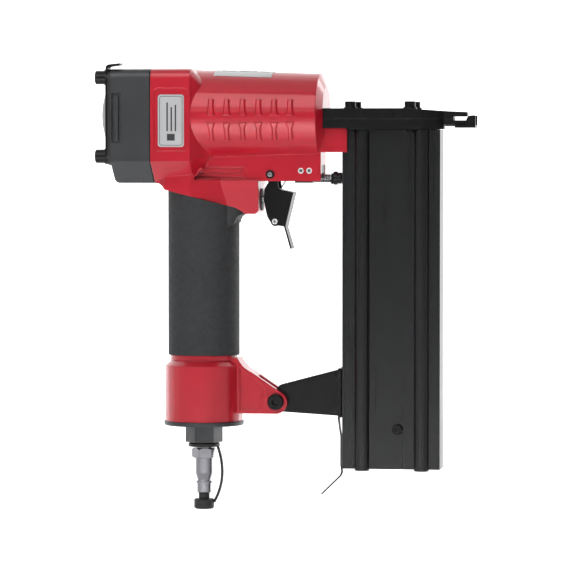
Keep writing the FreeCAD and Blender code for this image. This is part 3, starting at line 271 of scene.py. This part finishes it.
def rubber_grip():
    """Moulded grip rubber: a fine pebble grain over the whole sleeve."""
    made = Nodes("grip_rubber")
    cells = made.add("ShaderNodeTexVoronoi", feature="SMOOTH_F1")
    cells.inputs["Scale"].default_value = 1500
    made.link(made.place, cells.inputs["Vector"])
    height = made.add("ShaderNodeMath", operation="ADD")
    made.link(cells.outputs["Distance"], height.inputs[0])
    made.link(made.spread(made.noise(700), 0, 0.6), height.inputs[1])
    tone = made.blend(made.spread(made.noise(45), 0, 1), (0.012, 0.013, 0.014), (0.016, 0.017, 0.019))
    speck = made.blend(made.spread(cells.outputs["Distance"], 0, 1, 0.2, 0.7), tone, (0.024, 0.026, 0.028))
    made.link(speck, made.shader.inputs["Base Color"])
    made.link(made.spread(made.noise(300), 0.62, 0.76), made.shader.inputs["Roughness"])
    pebbles = made.bump(height.outputs["Value"], 0.00012, made.edges(0.5 * MM), strength=0.8)
    made.link(pebbles, made.shader.inputs["Normal"])
    return made.material


def red_paint():
    """Bright red lacquer over a casting: a satin coloured layer under a clear one, with soft orange peel."""
    rounding = 0.7 * MM
    made = Nodes("red_paint")
    shader = made.shader
    tone = made.blend(made.spread(made.noise(30), 0, 1), (0.45, 0.0045, 0.017), (0.50, 0.006, 0.022))
    made.link(tone, shader.inputs["Base Color"])
    made.link(made.spread(made.noise(2600, detail=2), 0.34, 0.46), shader.inputs["Roughness"])
    shader.inputs["Metallic"].default_value = 0.12
    shader.inputs["Specular IOR Level"].default_value = 0.30
    shader.inputs["Coat Weight"].default_value = 0.75
    shader.inputs["Coat Roughness"].default_value = 0.10
    peel = made.bump(made.noise(420), 0.00002, made.edges(rounding))
    made.link(peel, shader.inputs["Normal"])
    made.link(made.edges(rounding), shader.inputs["Coat Normal"])
    return made.material


FINISHES = {
    "red_paint": red_paint(),
    "black_metal": finish(
        "black_metal", (0.015, 0.0165, 0.020), 0.42, edge=0.7, grain=(700, 0.00003), specular=0.70),
    "black_anodised": finish(
        "black_anodised", (0.0056, 0.0060, 0.0068), 0.29, edge=0.35, grain=(2400, 0.0000012), specular=0.46,
        brushed=(1, 1, 0.02), worn=0.12, spread=0.03),
    "black_steel": finish(
        "black_steel", (0.005, 0.005, 0.0057), 0.30, edge=0.3, grain=(900, 0.000006), specular=0.26,
        worn=0.10, spread=0.03),
    "steel": finish(
        "steel", (0.60, 0.60, 0.61), 0.26, edge=0.2, grain=(800, 0.00001), metallic=1.0, brushed=(0.1, 1, 1)),
    "spring_steel": finish(
        "spring_steel", (0.24, 0.24, 0.245), 0.28, edge=0.1, grain=(900, 0.00001), metallic=1.0),
    "nickel": finish(
        "nickel", (0.29, 0.29, 0.31), 0.22, edge=0.25, grain=(500, 0.00001), metallic=1.0,
        brushed=(1, 1, 0.2)),
    "grip_rubber": rubber_grip(),
    "seal_rubber": finish("seal_rubber", (0.013, 0.013, 0.014), 0.50, edge=0.3, grain=(1100, 0.00004)),
    "black_plastic": finish("black_plastic", (0.028, 0.028, 0.030), 0.48, edge=0.3, grain=(1300, 0.00004)),
    "aluminium": finish("aluminium", (0.86, 0.86, 0.87), 0.50, edge=0.2, grain=(400, 0.00001), metallic=0.35),
    "label_silver": finish(
        "label_silver", (0.50, 0.50, 0.51), 0.40, edge=0.15, grain=(500, 0.00001), metallic=0.35, coat=0.3,
        brushed=(0.1, 1, 1)),
    "label_grey": finish(
        "label_grey", (0.52, 0.52, 0.52), 0.42, edge=0.15, grain=(500, 0.00001), metallic=0.2, coat=0.3),
}


def dress_nodes():
    """Give every CAD node the finish of its record slot."""
    slots = {part["node"]: part["material_slot"] for part in frame["record"]["subparts"]}
    for name, piece in frame["nodes"].items():
        piece.data.materials.clear()
        piece.data.materials.append(FINISHES[slots[name]])


def paper(name, low, high):
    """Matt white paper that can also shine on its own."""
    made = Nodes(name)
    tone = made.blend(made.spread(made.noise(3, detail=2), 0, 1), (low, low, low), (high, high, high))
    made.link(tone, made.shader.inputs["Base Color"])
    made.shader.inputs["Roughness"].default_value = 0.85
    made.shader.inputs["Specular IOR Level"].default_value = 0.2
    made.shader.inputs["Emission Color"].default_value = (1, 1, 1, 1)
    return made


# ---------------------------------------------------------------- pieces

def add_piece(name, mesh, finish_name):
    """A new piece with one finish."""
    piece = bpy.data.objects.new(name, mesh)
    bpy.context.scene.collection.objects.link(piece)
    mesh.materials.append(FINISHES[finish_name])
    return piece


def on_skin(name, start, direction):
    """The point of a CAD node's surface that a ray meets, and that point lifted by the ink's thickness."""
    hit, point, *_ = frame["nodes"][name].ray_cast(start, direction)
    if not hit:
        raise RuntimeError("the print misses " + name)
    return point, point - direction * INK


def print_strips(name, label, strips, ray):
    """Thin printed strips on a label.

    A strip is a run of point pairs, and ray gives the start and direction that carry a point to the label.
    """
    vertices, faces = [], []
    for strip in strips:
        first = len(vertices)
        for pair in strip:
            for u, v in pair:
                vertices.extend(on_skin(label, *ray(u, v)))
        corners = range(first, len(vertices), PAIR_CORNERS)
        for a, b in zip(corners, corners[1:]):
            faces.extend([(a + 1, b + 1, b + 3, a + 3), (a, a + 2, b + 2, b), (a, b, b + 1, a + 1),
                          (a + 2, a + 3, b + 3, b + 2)])
        if strip[0] != strip[-1]:
            last = corners[-1]
            faces.extend([(first, first + 1, first + 3, first + 2), (last, last + 2, last + 3, last + 1)])
    mesh = bpy.data.meshes.new(name)
    mesh.from_pydata(vertices, [], faces)
    made = bmesh.new()
    made.from_mesh(mesh)
    bmesh.ops.remove_doubles(made, verts=made.verts, dist=WELD)
    bmesh.ops.recalc_face_normals(made, faces=made.faces)
    made.to_mesh(mesh)
    made.free()
    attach(add_piece(name, mesh, "black_plastic"), "gun")


def border(half_wide, half_tall, corner, line):
    """A closed rounded frame as pairs of inner and outer points about the label's middle."""
    pairs = []
    for turn, (side, up) in enumerate(((1, 1), (-1, 1), (-1, -1), (1, -1))):
        middle = Vector((side * (half_wide - corner), up * (half_tall - corner)))
        for step in range(CORNER_STEPS + 1):
            angle = math.radians(90 * turn + 90 * step / CORNER_STEPS)
            out = Vector((math.cos(angle), math.sin(angle)))
            pairs.append((tuple(middle + out * (corner - line)), tuple(middle + out * corner)))
    return pairs + pairs[:1]


def bar(low, high, left, right, steps=1):
    """An open strip between two heights, from left to right."""
    places = [left + (right - left) * step / steps for step in range(steps + 1)]
    return [((u, low), (u, high)) for u in places]


def rule(left, low, high):
    """An upright open strip between two heights."""
    return [((left, v), (left + RULE_WIDTH, v)) for v in (low, high)]


def side_label(name, side):
    """A plain frame, a block and three rules, printed on one side label."""
    low, high = (Vector(corner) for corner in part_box(name))
    middle = (low + high) / 2
    half_wide = (high.x - low.x) / 2
    half_tall = (high.z - low.z) / 2
    block_low, block_high = (share * half_tall for share in BLOCK_HEIGHTS)

    def ray(u, v):
        return Vector((middle.x + u, side * REACH, middle.z + v)), Vector((0, -side, 0))

    strips = [border(half_wide - FRAME_MARGIN, half_tall - FRAME_MARGIN, FRAME_CORNER, FRAME_LINE),
              bar(block_low, block_high, -BLOCK_REACH * half_wide, BLOCK_REACH * half_wide)]
    for place, top in RULES:
        strips.append(rule(place * half_wide, RULE_FOOT * half_tall, top * half_tall))
    print_strips(name + "_print", name, strips, ray)


def barrel_label():
    """Two rows of plain rules on the top label, which follow the barrel's curve."""
    low, high = (Vector(corner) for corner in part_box("top_label"))
    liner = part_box("cylinder_liner")
    axis_height = (liner[0][2] + liner[1][2]) / 2
    middle = (low.x + high.x) / 2

    def ray(u, v):
        out = Vector((0, -math.sin(v), math.cos(v)))
        return Vector((middle + u, 0, axis_height)) + out * REACH, -out

    strips = []
    for low_angle, high_angle in ROW_ANGLES:
        for left, right in ROW_RUNS:
            strips.append(bar(
                math.radians(low_angle), math.radians(high_angle), left * MM, right * MM, ROW_STEPS))
    print_strips("top_label_print", "top_label", strips, ray)


def swept(name, path, section, finish_name):
    """A closed solid that carries a section along a path.

    A path step is a point and the section's two directions there, across and up.
    """
    count = len(section)
    vertices = []
    for point, across, up in path:
        vertices.extend(point + across * u + up * v for u, v in section)
    faces = []
    for step in range(len(path) - 1):
        for index in range(count):
            a = step * count + index
            b = step * count + (index + 1) % count
            faces.append((a, b, b + count, a + count))
    faces.append(tuple(reversed(range(count))))
    faces.append(tuple(range(len(vertices) - count, len(vertices))))
    mesh = bpy.data.meshes.new(name)
    mesh.from_pydata(vertices, [], faces)
    mesh.shade_smooth()
    return add_piece(name, mesh, finish_name)


def round_section(wide, thick, count):
    """An ellipse's points, from its two half-widths."""
    turns = [2 * math.pi * index / count for index in range(count)]
    return [(wide * math.cos(turn), thick * math.sin(turn)) for turn in turns]


def spring(node, body, letter, turns, wire):
    """A coil of wire along a CAD node's length, attached to its body; wire is the wire's radius."""
    low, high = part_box(node)
    axis = "xyz".index(letter)
    side_a, side_b = [index for index in range(3) if index != axis]
    middle = (low + high) / 2
    radius = (high[side_b] - low[side_b]) / 2 - wire
    span = high[axis] - low[axis]
    steps = turns * COIL_STEPS
    direction = Vector((0, 0, 0))
    direction[axis] = 1
    path = []
    for step in range(steps + 1):
        angle = 2 * math.pi * step / COIL_STEPS
        out = Vector((0, 0, 0))
        out[side_a] = math.cos(angle)
        out[side_b] = math.sin(angle)
        point = middle + out * radius
        point[axis] = low[axis] + wire + (span - 2 * wire) * step / steps
        path.append((point, out, direction))
    piece = swept(node + "_coil", path, round_section(wire, wire, WIRE_SIDES), "spring_steel")
    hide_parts(node)
    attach(piece, body)
    anchor = middle.copy()
    anchor[axis] = low[axis]
    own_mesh(piece)


def dust_strap():
    """The rubber strap from the ring to the stopper: a flat rounded band that bows out between them."""
    low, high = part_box("dust_strap")
    half_wide = (high.y - low.y) / 2 - STRAP_INSET
    top = Vector((high.x - STRAP_ROOT, 0, high.z))
    bottom = Vector((low.x, 0, low.z + STRAP_TIP))
    belly = Vector((high.x + STRAP_BULGE, 0, top.z * (1 - STRAP_SAG) + bottom.z * STRAP_SAG))
    across = Vector((0, 1, 0))
    path = []
    for step in range(STRAP_STEPS + 1):
        t = step / STRAP_STEPS
        point = top * (1 - t) ** 2 + belly * 2 * t * (1 - t) + bottom * t ** 2
        run = ((belly - top) * (1 - t) + (bottom - belly) * t).normalized()
        path.append((point, across, across.cross(run)))
    section = round_section(half_wide, STRAP_HALF_THICK, STRAP_SIDES)
    piece = swept("dust_strap_band", path, section, "seal_rubber")
    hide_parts("dust_strap")
    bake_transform(piece)


# ---------------------------------------------------------------- stage, lights and camera

def table_glow_and_painted_shadow(made):
    """The table's own glow along Y: soft in front, none under the tool so that a shadow is painted there, and
    white behind it.
    """
    along_y = made.add("ShaderNodeSeparateXYZ")
    made.link(made.add("ShaderNodeNewGeometry").outputs["Position"], along_y.inputs["Vector"])
    # The gap between the two fades leaves a painted shadow under the tool.
    front = made.spread(along_y.outputs["Y"], GLOW_FRONT, 0, *FRONT_FADE_TO_PAINTED_SHADOW)
    back = made.spread(along_y.outputs["Y"], 0, GLOW_BACK, *BACK_FADE_FROM_PAINTED_SHADOW)
    total = made.add("ShaderNodeMath", operation="ADD")
    made.link(front, total.inputs[0])
    made.link(back, total.inputs[1])
    made.link(total.outputs["Value"], made.shader.inputs["Emission Strength"])


def stage():
    """A white table and a white wall that both shine on their own; the table's glow leaves a painted shadow
    under the tool.
    """
    bpy.ops.mesh.primitive_plane_add(size=1, location=(0, (WALL + TABLE_FRONT) / 2, FLOOR))
    table = bpy.context.object
    table.name = "table"
    table.scale = (TABLE_WIDTH, WALL - TABLE_FRONT, 1)
    made = paper("table_paper", 0.86, 0.88)
    table_glow_and_painted_shadow(made)
    table.data.materials.append(made.material)
    upright = (math.radians(90), 0, 0)
    bpy.ops.mesh.primitive_plane_add(size=TABLE_WIDTH, location=(0, WALL, 0), rotation=upright)
    wall = bpy.context.object
    wall.name = "backdrop"
    made = paper("backdrop_paper", 0.90, 0.92)
    made.shader.inputs["Emission Strength"].default_value = WALL_GLOW
    wall.data.materials.append(made.material)


def bearing(turn, rise):
    """The direction that lies a turn to the right of -Y and a rise above level, both in radians."""
    return Vector((math.sin(turn) * math.cos(rise), -math.cos(turn) * math.cos(rise), math.sin(rise)))


def area_lamp(name, place, aim, width, height, radiance):
    """A rectangular lamp of an even radiance that faces a point."""
    lamp = bpy.data.lights.new(name, "AREA")
    lamp.shape = "RECTANGLE"
    lamp.size = width
    lamp.size_y = height
    lamp.energy = radiance * math.pi * width * height
    holder = bpy.data.objects.new(name, lamp)
    bpy.context.scene.collection.objects.link(holder)
    holder.location = place
    holder.rotation_euler = (aim - place).to_track_quat("-Z", "Y").to_euler()
    return lamp


def softbox(name, turn, rise, distance, width, height, radiance):
    """A lamp that faces the tool; its turn is measured from the camera's side, positive to the right."""
    aim = Vector((MIDDLE.x, 0, LAMP_AIM))
    place = aim + distance * bearing(math.radians(turn + CAMERA_TURN), math.radians(rise))
    area_lamp(name, place, aim, width, height, radiance)


def lights():
    """A key at the front left, light from above and the left, two rim lamps and a pool on the table."""
    world = bpy.data.worlds.new("studio")
    bpy.context.scene.world = world
    world.use_nodes = True
    background = world.node_tree.nodes["Background"]
    background.inputs["Color"].default_value = (1, 1, 1, 1)
    background.inputs["Strength"].default_value = WORLD_LIGHT
    for settings in SOFTBOXES:
        softbox(*settings)
    pool = area_lamp("table_pool", POOL_PLACE, POOL_PLACE - Vector((0, 0, 1)), *POOL_SIZE, POOL_RADIANCE)
    pool.spread = math.radians(POOL_SPREAD)


def camera():
    """A side view, turned a little to the tool's front and from slightly above."""
    turn = math.radians(CAMERA_TURN)
    tilt = math.radians(CAMERA_TILT)
    lens = bpy.data.cameras.new("camera")
    lens.sensor_width = CAMERA_SENSOR
    lens.lens = CAMERA_LENS
    holder = bpy.data.objects.new("camera", lens)
    bpy.context.scene.collection.objects.link(holder)
    holder.location = MIDDLE + CAMERA_DISTANCE * bearing(turn, tilt)
    holder.rotation_euler = (math.radians(90) - tilt, 0, turn)
    bpy.context.scene.camera = holder


bpy.context.scene.view_settings.view_transform = "Standard"
camera()
stage()
lights()
dress_nodes()
side_label("left_label", -1)
side_label("right_label", 1)
barrel_label()
spring("contact_spring", "gun", "x", 9, 0.35 * MM)
spring("head_valve_spring", "gun", "x", 4, 0.8 * MM)
spring("valve_spring", "gun", "x", 5, 0.35 * MM)
spring("pusher_spring", "magazine", "z", 26, 0.5 * MM)
dust_strap()
